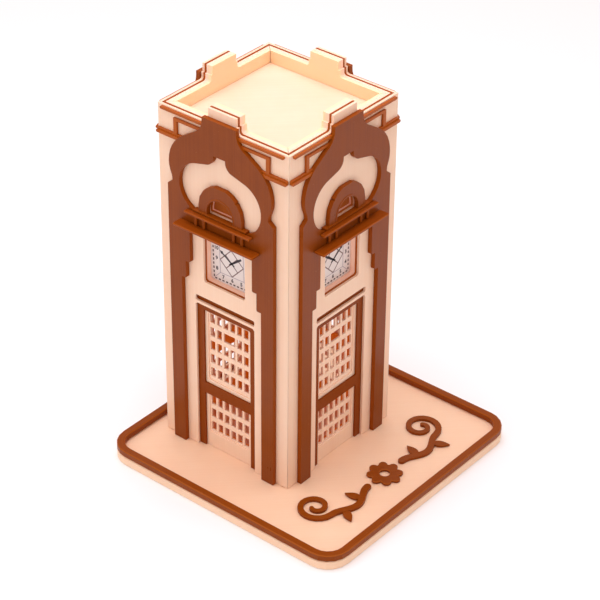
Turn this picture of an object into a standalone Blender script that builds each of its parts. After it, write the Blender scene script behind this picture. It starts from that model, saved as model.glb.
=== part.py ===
"""Souvenir clock tower, printed flat in layers and glued up on a rimmed plinth.

The tower is a hollow square shaft. Each of its four faces is a stack of thin sheets:
an inner wall with a pierced door, a dark sheet, a pale sheet, and on top a dark
fretwork frame with its lunette, shelf and canopy. The faces meet in mitred corners,
a flat panel closes the roof below the parapet, and the plinth carries the tower.

Frame: metres, +Z up, the front of the plinth towards -Y. The origin is the middle of
the plinth's underside.
"""

import math

import bmesh
import bpy
from mathutils import Vector

MM = 0.001

# ---------------------------------------------------------------- driving sizes
# Clearances
glue_line = 0.1 * MM            # between two sheets or pieces that are glued together
corner_gap = 0.1 * MM           # between the mitres of two neighbouring faces

# Plinth
plinth_width = 100.0 * MM
plinth_depth = 100.0 * MM
plinth_corner = 8.7 * MM
plate_thickness = 3.2 * MM
rim_width = 2.85 * MM
rim_height = 2.5 * MM
tower_setback = 14.8 * MM       # tower axis behind the middle of the plinth

# Layers of one face, from the outside in
tower_width = 54.6 * MM
outer_sheet = 0.9 * MM
mid_sheet = 0.7 * MM
inner_wall = 2.5 * MM
fret_thickness = 1.6 * MM       # frame and pilasters
moulding_thickness = 0.8 * MM   # thin bars beside the frame
cornice_thickness = 1.3 * MM    # thick lower bar of the corner cornice

# Heights, stacked from the top of the plate upwards
door_height = 58.7 * MM
slot_rise = 1.0 * MM
slot_height = 2.2 * MM
clock_rise = 6.3 * MM
clock_height = 17.3 * MM
canopy_rise = 4.3 * MM
canopy_thickness = 0.9 * MM
bracket_height = 3.9 * MM
shelf_thickness = 0.9 * MM
lobe_dip = 0.7 * MM             # lobes of the frame's opening reach below the shelf's top
ogee_rise = 14.55 * MM          # top of the frame's opening above the lobe centre
neck_rise = 12.55 * MM          # flat top of the frame above its opening
crest_step_drop = 2.5 * MM      # parapet below the top of the neck
crest_rise = 3.0 * MM           # crest above the top of the neck

# Openings of a face
door_width = 25.6 * MM
door_chamfer = 0.7 * MM
stile_width = 2.6 * MM
door_head_width = 2.5 * MM
rail_level = 22.4 * MM          # underside of the cross rail above the plate
rail_width = 4.2 * MM
clock_width = 17.8 * MM
clock_chamfer = 0.6 * MM
card_margin = 1.8 * MM
card_thickness = 0.4 * MM
card_rebate = 0.6 * MM          # depth of the card's seat in the inner wall's back
card_play = 0.2 * MM            # round the card in its seat

# Pierced door
lattice_columns = 6
lattice_pitch_u = 2.95 * MM
lattice_pitch_z = 5.45 * MM
hole_width = 2.05 * MM
hole_height = 3.6 * MM
upper_rows = 5
lower_rows = 3
double_hole_row = 2             # counted from the top, its two middle holes are one
upper_hole_drop = 3.05 * MM     # middle of the top row below the door opening's head
lower_hole_drop = 2.8 * MM      # the same, below the cross rail
lattice_recess = 0.4 * MM
lattice_thickness = 0.7 * MM
lattice_border = 1.2 * MM       # flat border of the door panel beside the stile
lattice_foot = 1.6 * MM         # the same under the last row's recess
panel_round = 0.9 * MM
back_margin = 1.2 * MM          # back pocket wider than the lattice field

# Crest
crest_width = 11.7 * MM
crest_step = 0.65 * MM
crest_cove = 1.0 * MM

# Fretwork frame
pilaster_margin = 5.0 * MM      # pilaster to the corner of the tower
bulge_inset = 0.7 * MM          # widest place of the frame inside the pilasters
neck_width = 14.2 * MM
neck_straight = 1.3 * MM
flare_radius = 6.0 * MM
flare_angle = 55.4              # degrees
bulge_radius = 13.2 * MM
bulge_rise = 6.0 * MM           # widest place above the lobe centre
hip_radius = 9.8 * MM
hip_angle = 25.0                # degrees
waist_radius = 5.0 * MM
shoulder_drop = 2.4 * MM        # pilaster's top corner below the lobe centre
shoulder_slope = 1.7 * MM
pilaster_foot_width = 5.15 * MM
pilaster_step_width = 1.9 * MM
pilaster_step_low = 67.9 * MM   # steps of the inner edge above the plate
pilaster_step_high = 6.7 * MM   # second step above the first
step_round = 0.5 * MM
lintel_drop = 2.4 * MM          # frame's lower opening ends below the canopy
ogee_width = 5.0 * MM
ogee_radius = 3.6 * MM
ogee_angle = 75.0               # degrees
lobe_radius = 9.5 * MM
lobe_offset = 7.75 * MM         # lobe centre beside the face's axis

# Thin bars beside the frame
bar_height = 0.95 * MM
parapet_bar_drop = 0.45 * MM    # top bar below the parapet
parapet_bar_margin = 1.6 * MM   # its end before the corner
angle_bar_drop = 1.35 * MM      # angle bar below the top bar
angle_bar_margin = 7.3 * MM     # its outer edge before the corner
angle_bar_width = 1.4 * MM
cornice_drop = 4.75 * MM        # corner cornice below the angle bar
cornice_upper = 0.7 * MM
cornice_lower = 1.05 * MM
cornice_margin = 0.1 * MM       # its end before the corner
bar_lap = 2.0 * MM              # bars run this far into the frame
bar_rounding = 0.98             # of half a bar's height, at its round end

# Lunette, shelf and canopy
lunette_width = 18.4 * MM
lunette_opening = 10.9 * MM
lunette_stilt = 2.4 * MM
lunette_facets = 10
notch_angle = 42.0              # degrees above the springing
notch_width = 0.5 * MM
notch_depth = 0.4 * MM
opening_stilt = 1.2 * MM
opening_reveal = 0.6 * MM       # sheets' opening wider than the arch's, each side
bead_width = 0.55 * MM
bead_rise = 0.2 * MM
panel_pocket = 1.2 * MM         # depth of the lunette panel's pocket in the inner wall
panel_thickness = 0.6 * MM
foot_width = 22.4 * MM
foot_height = 0.7 * MM
foot_reach = 2.2 * MM           # from the pale sheet outwards
shelf_width = 27.8 * MM
shelf_reach = 3.7 * MM
bracket_width = 1.1 * MM
bracket_reach = 2.7 * MM
bracket_outer = 9.8 * MM        # middles of the two brackets beside the axis
bracket_inner = 6.3 * MM
canopy_width = 33.8 * MM
canopy_reach = 5.9 * MM

# Roof
roof_drop = 4.5 * MM            # roof panel below the parapet
roof_thickness = 2.0 * MM

# Ornament on the plinth's front margin
relief_height = 1.0 * MM
relief_inset = 14.4 * MM        # its middle line behind the rim's inner edge
rosette_radius = 6.3 * MM
rosette_notch = 4.0 * MM        # radius between two petals
rosette_eye = 1.8 * MM
petal_count = 8
petal_points = 9                # outline points of one petal
petal_fullness = 0.6            # below 1, petals are broad and their notches narrow
scroll_start = 9.4 * MM         # beside the axis
scroll_length = 19.6 * MM
scroll_wave = 3.6 * MM
scroll_points = 16              # of the wave's centre line
volute_radius = 6.6 * MM
volute_eye = 1.6 * MM
volute_turns = 1.3
volute_points = 28
ribbon_width = 2.5 * MM
ribbon_tip = 1.6 * MM
leaf_length = 6.4 * MM
leaf_width = 3.0 * MM
leaf_step = 0.15 * MM           # leaves lie this much lower than the stem
leaf_fullness = 0.8             # below 1, a leaf is widest before its middle
leaf_points = 8
leaf_roots = ((5, 75.0), (12, -60.0))   # point of the stem and heading in degrees

# ------------------------------------------------------------- worked-out levels
plate_top = plate_thickness
floor_level = plate_top + glue_line
door_head = plate_top + door_height
slot_bottom = door_head + slot_rise
slot_top = slot_bottom + slot_height
clock_bottom = slot_top + clock_rise
clock_top = clock_bottom + clock_height
canopy_bottom = clock_top + canopy_rise
canopy_top = canopy_bottom + canopy_thickness
shelf_bottom = canopy_top + bracket_height
shelf_top = shelf_bottom + shelf_thickness
foot_bottom = shelf_top + glue_line
foot_top = foot_bottom + foot_height
lobe_level = shelf_top + lobe_radius - lobe_dip
ogee_top = lobe_level + ogee_rise
neck_top = ogee_top + neck_rise
parapet_top = neck_top - crest_step_drop
crest_top = neck_top + crest_rise
parapet_bar_top = parapet_top - parapet_bar_drop
parapet_bar_bottom = parapet_bar_top - bar_height
angle_bar_top = parapet_bar_bottom - angle_bar_drop
cornice_top = angle_bar_top - bar_height - cornice_drop
cornice_bottom = cornice_top - cornice_upper - cornice_lower
panel_head = door_head - door_head_width
rail_bottom = plate_top + rail_level
rail_top = rail_bottom + rail_width

half_tower = tower_width / 2
pilaster_edge = half_tower - pilaster_margin
panel_half = door_width / 2 - stile_width

# Places across a face's thickness, measured outwards from the tower's axis
fret_back = half_tower + glue_line
fret_front = fret_back + fret_thickness
mid_front = half_tower - outer_sheet - glue_line
wall_front = mid_front - mid_sheet - glue_line
wall_back = wall_front - inner_wall
lattice_front = wall_front - lattice_recess
lattice_back = lattice_front - lattice_thickness
card_front = wall_back + card_rebate - glue_line
panel_back = wall_front - panel_pocket + glue_line

# Fineness of curves, in degrees between two points, and of welds and cuts
ARC_STEP = 9.0
CORNER_STEP = 18.0
COVE_STEP = 18.0
EYE_STEP = 20.0
TIP_STEP = 30.0
WELD_DISTANCE = 0.002 * MM
FLAT_ANGLE = 0.05
CUT_TOLERANCE = 0.0005 * MM

SIDES = (("front", 0.0), ("right", 90.0), ("back", 180.0), ("left", 270.0))


# --------------------------------------------------------------- scene and looks
def clear_scene():
    """Remove every object that the file starts with."""
    for old in list(bpy.data.objects):
        bpy.data.objects.remove(old, do_unlink=True)


def new_collection(name):
    """Make a collection and link it to the scene."""
    group = bpy.data.collections.new(name)
    bpy.context.scene.collection.children.link(group)
    return group


def piece_look(name, recipe):
    """A piece's own printed plastic or paper look, from a colour and a roughness."""
    colour, roughness = recipe
    look = bpy.data.materials.new(name)
    look.use_nodes = True
    shader = look.node_tree.nodes["Principled BSDF"]
    shader.inputs["Base Color"].default_value = (*colour, 1.0)
    shader.inputs["Roughness"].default_value = roughness
    shader.inputs["Metallic"].default_value = 0.0
    look.diffuse_color = (*colour, 1.0)
    return look


# ------------------------------------------------------------------ 2D outlines
def arc(centre, radius, start, end, step=ARC_STEP):
    """Points of an arc, angles in degrees, both ends included."""
    count = max(2, round(abs(end - start) / step))
    points = []
    for index in range(count + 1):
        angle = math.radians(start + (end - start) * index / count)
        points.append((centre[0] + radius * math.cos(angle),
                       centre[1] + radius * math.sin(angle)))
    return points


def rounded(corners):
    """Closed outline from corners (x, z, radius); a radius of zero stays sharp."""
    points = []
    count = len(corners)
    for index, (x, z, radius) in enumerate(corners):
        corner = Vector((x, z))
        if radius <= 0:
            points.append((x, z))
            continue
        before = Vector(corners[index - 1][:2]) - corner
        after = Vector(corners[(index + 1) % count][:2]) - corner
        half = before.angle(after) / 2
        reach = radius / math.tan(half)
        entry = corner + before.normalized() * reach
        leave = corner + after.normalized() * reach
        centre = corner + (before.normalized() + after.normalized()).normalized() * (
            radius / math.sin(half))
        first = math.degrees(math.atan2(entry.y - centre.y, entry.x - centre.x))
        last = math.degrees(math.atan2(leave.y - centre.y, leave.x - centre.x))
        sweep = (last - first + 180.0) % 360.0 - 180.0
        points.extend(arc(centre, radius, first, first + sweep, CORNER_STEP))
    return points


def rectangle(left, right, bottom, top, radius=0.0):
    """Closed rectangle with four equal corner radii."""
    return rounded([(left, bottom, radius), (right, bottom, radius),
                    (right, top, radius), (left, top, radius)])


def mirrored(half):
    """Close a right-hand half outline with its mirror image across x = 0."""
    return half + [(-x, z) for x, z in reversed(half)]


def ribbon(line, widths):
    """Closed outline of a band with a round tip at each end of a centre line."""
    left, right = [], []
    for index, point in enumerate(line):
        here = Vector(point)
        ahead = Vector(line[min(index + 1, len(line) - 1)])
        behind = Vector(line[max(index - 1, 0)])
        along = (ahead - behind).normalized()
        across = Vector((-along.y, along.x)) * widths[index] / 2
        left.append(tuple(here + across))
        right.append(tuple(here - across))

    def tip(centre, inner, outer, radius):
        """Half circle from one edge of the band to the other."""
        start = math.degrees(math.atan2(outer[1] - centre[1], outer[0] - centre[0]))
        return arc(centre, radius, start, start - 180.0, TIP_STEP)[1:-1]

    end_cap = tip(line[-1], right[-1], left[-1], widths[-1] / 2)
    start_cap = tip(line[0], left[0], right[0], widths[0] / 2)
    return left + end_cap + right[::-1] + start_cap


# ------------------------------------------------------------------ solid makers
class Shop:
    """Makes solids for one part and keeps its cutters together."""

    def __init__(self, parts, cutters):
        self.parts = parts
        self.cutters = cutters

    def solid(self, name, outlines, back, front, upright=True, group=None):
        """Extrude flat outlines into a closed mesh object.

        An upright solid lies in the front face's plane, from `back` to `front`
        outwards from the axis; a lying one goes from height `back` to `front`. Its
        points lie exactly on the two planes, so that flush pieces join cleanly.
        """
        curve = bpy.data.curves.new(name, "CURVE")
        curve.dimensions = "2D"
        curve.fill_mode = "BOTH"
        curve.extrude = (front - back) / 2
        for outline in outlines:
            spline = curve.splines.new("POLY")
            spline.points.add(len(outline) - 1)
            for knot, (x, z) in zip(spline.points, outline):
                knot.co = (x, z, 0.0, 1.0)
            spline.use_cyclic_u = True
        shape = bpy.data.objects.new(name, curve)
        bpy.context.scene.collection.objects.link(shape)
        made = self.freeze(shape, group or self.parts)
        bpy.data.curves.remove(curve)
        for vertex in made.data.vertices:
            across, along, side = vertex.co
            plane = front if side > 0.0 else back
            vertex.co = (across, -plane, along) if upright else (across, along, plane)
        return made

    def freeze(self, shape, group):
        """Turn an evaluated object at the origin into a welded mesh object."""
        bpy.context.view_layer.update()
        graph = bpy.context.evaluated_depsgraph_get()
        mesh = bpy.data.meshes.new_from_object(shape.evaluated_get(graph))
        name = shape.name
        bpy.data.objects.remove(shape, do_unlink=True)
        self.weld(mesh)
        mesh.name = name
        made = bpy.data.objects.new(name, mesh)
        group.objects.link(made)
        return made

    @staticmethod
    def weld(mesh):
        """Merge the seams of caps, drop edges without a face and turn normals outwards."""
        shape = bmesh.new()
        shape.from_mesh(mesh)
        bmesh.ops.remove_doubles(shape, verts=shape.verts, dist=WELD_DISTANCE)
        bmesh.ops.dissolve_limit(shape, angle_limit=math.radians(FLAT_ANGLE),
                                 verts=shape.verts, edges=shape.edges)
        loose = [edge for edge in shape.edges if not edge.link_faces]
        bmesh.ops.delete(shape, geom=loose, context="EDGES")
        bmesh.ops.recalc_face_normals(shape, faces=shape.faces)
        shape.to_mesh(mesh)
        shape.free()

    def box(self, name, low, high, group=None):
        """A box between two corners, made from a primitive cube."""
        shape = bmesh.new()
        bmesh.ops.create_cube(shape, size=1.0)
        for vertex in shape.verts:
            vertex.co = [high[axis] if vertex.co[axis] > 0.0 else low[axis]
                         for axis in range(3)]
        mesh = bpy.data.meshes.new(name)
        shape.to_mesh(mesh)
        shape.free()
        made = bpy.data.objects.new(name, mesh)
        (group or self.parts).objects.link(made)
        return made

    def combine(self, target, tools, operation):
        """Boolean each tool into the target's mesh, one after the other."""
        for tool in tools:
            step = target.modifiers.new(operation.lower(), "BOOLEAN")
            step.operation = operation
            step.solver = "EXACT"
            step.object = tool
            bpy.context.view_layer.update()
            graph = bpy.context.evaluated_depsgraph_get()
            mesh = bpy.data.meshes.new_from_object(target.evaluated_get(graph))
            target.modifiers.clear()
            old = target.data
            target.data = mesh
            bpy.data.meshes.remove(old)
            self.weld(mesh)
            mesh.name = target.name

    def cut(self, target, cutters):
        """Subtract the cutters and keep them as wire guides."""
        self.combine(target, cutters, "DIFFERENCE")
        for cutter in cutters:
            cutter.hide_render = True
            cutter.display_type = "WIRE"

    def join(self, target, pieces):
        """Fuse pieces of the same print with the target."""
        self.combine(target, pieces, "UNION")
        for piece in pieces:
            mesh = piece.data
            bpy.data.objects.remove(piece, do_unlink=True)
            bpy.data.meshes.remove(mesh)

    @staticmethod
    def mitre(target):
        """Cut both upright ends of a sheet at 45 degrees for the tower's corners."""
        shape = bmesh.new()
        shape.from_mesh(target.data)
        for side in (1.0, -1.0):
            bmesh.ops.bisect_plane(
                shape, geom=shape.verts[:] + shape.edges[:] + shape.faces[:],
                dist=CUT_TOLERANCE, plane_co=(0.0, -corner_gap, 0.0),
                plane_no=(side, 1.0, 0.0), clear_outer=True)
            rim = [edge for edge in shape.edges if edge.is_boundary]
            bmesh.ops.holes_fill(shape, edges=rim, sides=0)
        bmesh.ops.recalc_face_normals(shape, faces=shape.faces)
        shape.to_mesh(target.data)
        shape.free()


# --------------------------------------------------------------- outlines of a face
def facade_half():
    """Right half of a sheet's outer edge, from the crest down to the floor."""
    crest_half = crest_width / 2
    step_edge = crest_half + crest_step
    cove_level = parapet_top + crest_cove
    half = [(crest_half, crest_top), (crest_half, neck_top), (step_edge, neck_top)]
    half += arc((step_edge + crest_cove, cove_level), crest_cove, 180.0, 270.0,
                COVE_STEP)
    half += [(half_tower, parapet_top), (half_tower, floor_level)]
    return half


def clock_hole():
    """Window in front of a clock card, with its lower corners chamfered."""
    half = clock_width / 2
    return [(-half, clock_bottom + clock_chamfer), (-half + clock_chamfer, clock_bottom),
            (half - clock_chamfer, clock_bottom), (half, clock_bottom + clock_chamfer),
            (half, clock_top), (-half, clock_top)]


def stilted_arch(half, sill):
    """Half-round outline about the lunette's springing, carried down to a sill."""
    spring = foot_top + opening_stilt
    return [(-half, sill), (half, sill)] + arc((0.0, spring), half, 0.0, 180.0,
                                               CORNER_STEP)


def lunette_hole(inset):
    """Opening of the sheets behind the arch, moved in by an inset."""
    return stilted_arch(lunette_opening / 2 + opening_reveal - inset, foot_top + inset)


def outer_sheet_outlines():
    """Pale sheet: open at the door, pierced by slot, clock window and lunette."""
    door_half = door_width / 2
    half = facade_half() + [(door_half, floor_level), (door_half, door_head - door_chamfer),
                            (door_half - door_chamfer, door_head)]
    slot = rectangle(-door_half, door_half, slot_bottom, slot_top, slot_height / 4)
    return [mirrored(half), slot, clock_hole(), lunette_hole(0.0)]


def mid_sheet_outlines():
    """Dark sheet: its stiles and cross rail frame the pierced door."""
    half = facade_half() + [(panel_half, floor_level), (panel_half, rail_bottom)]
    window = rectangle(-panel_half, panel_half, rail_top, panel_head, panel_round / 2)
    return [mirrored(half), window, clock_hole(), lunette_hole(0.0)]


def lobe_outline():
    """Opening of the frame: small ogee on top, a big lobe at each side."""
    lobe_centre = (lobe_offset, lobe_level)
    sill_angle = -math.degrees(math.asin(1.0 - lobe_dip / lobe_radius))
    ogee_centre = (ogee_width / 2 + ogee_radius, ogee_top - (ogee_radius - ogee_width / 2) / 2)
    half = [(ogee_width / 2, ogee_top)]
    half += arc(ogee_centre, ogee_radius, 180.0, 180.0 + ogee_angle)
    half += arc(lobe_centre, lobe_radius, ogee_angle - 5.0, sill_angle)
    return mirrored(half)


def frame_half():
    """Right half of the frame's outer edge, then its pilaster's inner edge."""
    neck_half = neck_width / 2
    flare_level = neck_top - neck_straight
    bulge_edge = pilaster_edge - bulge_inset
    bulge_level = lobe_level + bulge_rise
    half = [(neck_half, neck_top)]
    half += arc((neck_half + flare_radius, flare_level), flare_radius,
                180.0, 180.0 + flare_angle)
    half += arc((bulge_edge - bulge_radius, bulge_level), bulge_radius, flare_angle, 0.0)
    half += arc((bulge_edge - hip_radius, bulge_level), hip_radius, 0.0, -hip_angle)[1:]
    hip = half[-1]
    turn = math.radians(-hip_angle)
    waist_centre = (hip[0] + waist_radius * math.cos(turn),
                    hip[1] + waist_radius * math.sin(turn))
    half += arc(waist_centre, waist_radius, 180.0 - hip_angle, 180.0)[1:]
    shoulder = lobe_level - shoulder_drop
    waist = half[-1]
    half += [(waist[0], min(waist[1], shoulder + shoulder_slope)), (pilaster_edge, shoulder)]
    return half


def pilaster_inner_half():
    """Right half of the lower opening, from the floor up to the lintel."""
    foot_edge = pilaster_edge - pilaster_foot_width
    middle_edge = foot_edge - pilaster_step_width
    upper_edge = middle_edge - pilaster_step_width
    low = plate_top + pilaster_step_low
    high = low + pilaster_step_high
    lintel = canopy_bottom - lintel_drop
    bottom = floor_level
    corners = [(pilaster_edge, bottom, 0.0), (foot_edge, bottom, 0.0),
               (foot_edge, low, 0.0), (middle_edge, low, step_round),
               (middle_edge, high, 0.0), (upper_edge, high, step_round),
               (upper_edge, lintel, 0.0), (0.0, lintel, 0.0)]
    return rounded(corners)[:-1]


# ------------------------------------------------------------------ pieces of a face
def make_outer_sheet(shop):
    """Pale outer sheet of a face."""
    sheet = shop.solid("outer_sheet", outer_sheet_outlines(),
                       half_tower - outer_sheet, half_tower)
    shop.mitre(sheet)
    return sheet


def make_mid_sheet(shop):
    """Dark sheet behind the pale one."""
    sheet = shop.solid("mid_sheet", mid_sheet_outlines(), mid_front - mid_sheet, mid_front)
    shop.mitre(sheet)
    return sheet


def lattice_fields():
    """Bottom, top, row middles and double row of the two recessed lattice fields."""
    upper_rows_z = [panel_head - upper_hole_drop - lattice_pitch_z * row
                    for row in range(upper_rows)]
    lower_rows_z = [rail_bottom - lower_hole_drop - lattice_pitch_z * row
                    for row in range(lower_rows)]
    upper = (upper_rows_z[-1] - hole_height / 2 - lattice_foot,
             panel_head - lattice_border / 2, upper_rows_z, double_hole_row)
    lower = (lower_rows_z[-1] - hole_height / 2 - lattice_foot / 2,
             rail_bottom - lattice_border / 2, lower_rows_z, None)
    return upper, lower


def lattice_holes(rows, double_row):
    """Left, right and middle height of every hole of one field."""
    first = -(lattice_columns - 1) / 2 * lattice_pitch_u
    centre_pair = (lattice_columns // 2 - 1, lattice_columns // 2)
    holes = []
    for number, level in enumerate(rows, start=1):
        for column in range(lattice_columns):
            middle = first + column * lattice_pitch_u
            left, right = middle - hole_width / 2, middle + hole_width / 2
            if number == double_row and column == centre_pair[0]:
                right += lattice_pitch_u
            if number == double_row and column == centre_pair[1]:
                continue
            holes.append((left, right, level))
    return holes


def card_outline(play):
    """Outline of a clock card, widened by a play."""
    half = clock_width / 2 + card_margin + play
    return rectangle(-half, half, clock_bottom - card_margin - play,
                     clock_top + card_margin + play)


def make_inner_wall(shop):
    """Thick inner wall: window with its card seat, lunette pocket and pierced panels."""
    wall = shop.solid("inner_wall", [mirrored(facade_half()), clock_hole()],
                      wall_back, wall_front)
    shop.mitre(wall)
    recesses, pockets, holes = [], [], []
    field_half = panel_half - lattice_border
    for bottom, top, rows, double_row in lattice_fields():
        recesses.append(rectangle(-field_half, field_half, bottom, top, panel_round))
        pockets.append(rectangle(-field_half - back_margin, field_half + back_margin,
                                 bottom, top))
        for left, right, level in lattice_holes(rows, double_row):
            holes.append(rectangle(left, right, level - hole_height / 2,
                                   level + hole_height / 2))
    run_out = inner_wall
    shop.cut(wall, [
        shop.solid("recess_cutter", recesses, lattice_front, wall_front + run_out,
                   group=shop.cutters),
        shop.solid("pocket_cutter", pockets, wall_back - run_out, lattice_back,
                   group=shop.cutters),
        shop.solid("card_cutter", [card_outline(card_play)], wall_back - run_out,
                   wall_back + card_rebate, group=shop.cutters),
        shop.solid("lunette_cutter", [lunette_hole(0.0)], wall_front - panel_pocket,
                   wall_front + run_out, group=shop.cutters),
        shop.solid("lattice_cutter", holes, wall_back - run_out, wall_front + run_out,
                   group=shop.cutters)])
    return wall


def bar_outline(start, end, bottom, top, round_end):
    """Horizontal bar, with its outer end half round where asked."""
    radius = (top - bottom) / 2 * bar_rounding if round_end else 0.0
    return rounded([(start, bottom, 0.0), (end, bottom, radius),
                    (end, top, radius), (start, top, 0.0)])


def both_sides(outline):
    """An outline and its mirror image."""
    return [outline, [(-x, z) for x, z in reversed(outline)]]


def make_fretwork(shop):
    """Frame, pilasters and the thin bars beside them, printed in one piece."""
    frame = shop.solid("fretwork", [mirrored(frame_half() + pilaster_inner_half()),
                                    lobe_outline()], fret_back, fret_front)
    neck_side = neck_width / 2 - bar_lap
    parapet_bar = bar_outline(neck_side, half_tower - parapet_bar_margin,
                              parapet_bar_bottom, parapet_bar_top, True)
    angle_outer = half_tower - angle_bar_margin
    angle_inner = angle_outer - angle_bar_width
    angle_bar = [(neck_side, angle_bar_top - bar_height), (angle_inner, angle_bar_top - bar_height),
                 (angle_inner, cornice_top - cornice_upper / 2),
                 (angle_outer, cornice_top - cornice_upper / 2),
                 (angle_outer, angle_bar_top), (neck_side, angle_bar_top)]
    cornice_start = angle_inner - bar_lap
    cornice_end = half_tower - cornice_margin
    tier_level = cornice_top - cornice_upper
    upper_tier = bar_outline(cornice_start, cornice_end, tier_level - cornice_lower / 2,
                             cornice_top, True)
    lower_tier = bar_outline(cornice_start, cornice_end, cornice_bottom, tier_level, True)
    thin_front = fret_back + moulding_thickness
    thick_front = fret_back + cornice_thickness
    shop.join(frame, [
        shop.solid("parapet_bars", both_sides(parapet_bar), fret_back, thin_front),
        shop.solid("angle_bars", both_sides(angle_bar), fret_back, thin_front),
        shop.solid("cornice_upper", both_sides(upper_tier), fret_back, thin_front),
        shop.solid("cornice_lower", both_sides(lower_tier), fret_back, thick_front)])
    return frame


def arch_half():
    """Right half of the arch's faceted outer edge, from its foot up to its top."""
    facet = 180.0 / lunette_facets
    radius = lunette_width / 2
    spring = (0.0, foot_top + lunette_stilt)
    reach = math.degrees(notch_width / 2 / radius)
    floor = radius - notch_depth
    half = [(radius, foot_top - foot_height / 2)]
    half += arc(spring, radius, 0.0, notch_angle - reach, facet)
    half += arc(spring, floor, notch_angle - reach, notch_angle + reach, reach)
    half += arc(spring, radius, notch_angle + reach, 90.0, facet)
    return half[:-1]


def make_lunette(shop):
    """Faceted, notched arch with a bead round its opening, on a projecting foot."""
    opening_half = lunette_opening / 2
    foot_half = foot_width / 2
    bead = stilted_arch(opening_half + bead_width, foot_top - foot_height / 2)
    arch = shop.solid("lunette", [mirrored(arch_half())], fret_back, fret_front)
    shop.join(arch, [
        shop.solid("lunette_bead", [bead], fret_back + fret_thickness / 2,
                   fret_front + bead_rise),
        shop.box("lunette_foot", (-foot_half, -half_tower - foot_reach, foot_bottom),
                 (foot_half, -fret_back, foot_top))])
    shop.cut(arch, [
        shop.solid("arch_cutter", [stilted_arch(opening_half, foot_top)],
                   fret_back - fret_thickness, fret_front + fret_thickness,
                   group=shop.cutters)])
    return arch


def make_lunette_panel(shop):
    """Dark plate in the pocket behind the arch's opening."""
    return shop.solid("lunette_panel", [lunette_hole(glue_line)], panel_back,
                      panel_back + panel_thickness)


def make_shelf(shop):
    """Shelf under the lunette, with two pairs of brackets below it."""
    back = -fret_front - glue_line
    shelf = shop.box("shelf", (-shelf_width / 2, -half_tower - shelf_reach, shelf_bottom),
                     (shelf_width / 2, back, shelf_top))
    brackets = []
    for number, middle in enumerate((-bracket_outer, -bracket_inner,
                                     bracket_inner, bracket_outer)):
        brackets.append(shop.box(
            f"bracket_{number}",
            (middle - bracket_width / 2, -half_tower - bracket_reach, canopy_top + glue_line),
            (middle + bracket_width / 2, back, shelf_bottom + shelf_thickness / 2)))
    shop.join(shelf, brackets)
    return shelf


def make_canopy(shop):
    """Wider plate over the clock."""
    return shop.box("canopy", (-canopy_width / 2, -half_tower - canopy_reach, canopy_bottom),
                    (canopy_width / 2, -fret_front - glue_line, canopy_top))


def make_clock_card(shop):
    """Printed card glued into its seat behind the clock window."""
    return shop.solid("clock_card", [card_outline(0.0)], card_front - card_thickness,
                      card_front)


def dress_tower(shop, axis, looks):
    """Make each piece of a face once and set it on all four sides."""
    makers = {
        "inner_wall": (make_inner_wall, "ivory"),
        "mid_sheet": (make_mid_sheet, "brown"),
        "outer_sheet": (make_outer_sheet, "ivory"),
        "fretwork": (make_fretwork, "brown"),
        "lunette": (make_lunette, "brown"),
        "lunette_panel": (make_lunette_panel, "brown"),
        "shelf": (make_shelf, "brown"),
        "canopy": (make_canopy, "brown"),
        "clock_card": (make_clock_card, "paper"),
    }
    for label, (maker, look) in makers.items():
        master = maker(shop)
        master.data.materials.clear()
        master.data.materials.append(piece_look(label, looks[look]))
        for side, turn in SIDES:
            piece = bpy.data.objects.new(f"{side}_{label}", master.data)
            shop.parts.objects.link(piece)
            piece.parent = axis
            piece.rotation_euler = (0.0, 0.0, math.radians(turn))
        bpy.data.objects.remove(master, do_unlink=True)


# ------------------------------------------------------------------ plinth and roof
def plinth_outline(inset):
    """Rounded rectangle of the plinth, moved in by an inset."""
    half_x = plinth_width / 2 - inset
    half_y = plinth_depth / 2 - inset
    return rectangle(-half_x, half_x, -half_y, half_y, plinth_corner - inset)


def make_plinth(shop, looks):
    """Plate and the rim that stands flush with its edge."""
    plate = shop.solid("plinth_plate", [plinth_outline(0.0)], 0.0, plate_top, upright=False)
    plate.data.materials.append(piece_look("plinth_plate", looks["ivory"]))
    rim = shop.solid("plinth_rim", [plinth_outline(0.0), plinth_outline(rim_width)],
                     plate_top + glue_line, plate_top + glue_line + rim_height, upright=False)
    rim.data.materials.append(piece_look("plinth_rim", looks["brown"]))


def make_roof(shop, axis, looks):
    """Flat panel inside the parapet."""
    half = wall_back - glue_line
    top = parapet_top - roof_drop
    panel = shop.box("roof_panel", (-half, -half, top - roof_thickness), (half, half, top))
    panel.parent = axis
    panel.data.materials.append(piece_look("roof_panel", looks["ivory"]))


def scroll_line():
    """Centre line of a scroll: a wave that leads into a volute."""
    wave_end = scroll_start + scroll_length
    line = []
    for index in range(scroll_points):
        share = index / scroll_points
        line.append((scroll_start + scroll_length * share,
                     -scroll_wave * (1.0 - math.cos(share * 2 * math.pi)) / 2))
    centre = (wave_end, volute_radius)
    for index in range(volute_points + 1):
        share = index / volute_points
        radius = volute_radius + (volute_eye - volute_radius) * share
        angle = -math.pi / 2 + share * volute_turns * 2 * math.pi
        line.append((centre[0] + radius * math.cos(angle),
                     centre[1] + radius * math.sin(angle)))
    return line


def leaf_outline(root, heading):
    """Pointed leaf that grows from a root point in one heading, in degrees."""
    turn = math.radians(heading)
    along = Vector((math.cos(turn), math.sin(turn)))
    across = Vector((-along.y, along.x))
    sides = []
    for side in (1.0, -1.0):
        edge = []
        for index in range(1, leaf_points):
            share = index / leaf_points
            bulge = math.sin(math.pi * share ** leaf_fullness) * leaf_width / 2
            edge.append(tuple(Vector(root) + along * leaf_length * share
                              + across * bulge * side))
        sides.append(edge)
    tip = tuple(Vector(root) + along * leaf_length)
    return [tuple(root)] + sides[1] + [tip] + sides[0][::-1]


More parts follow.
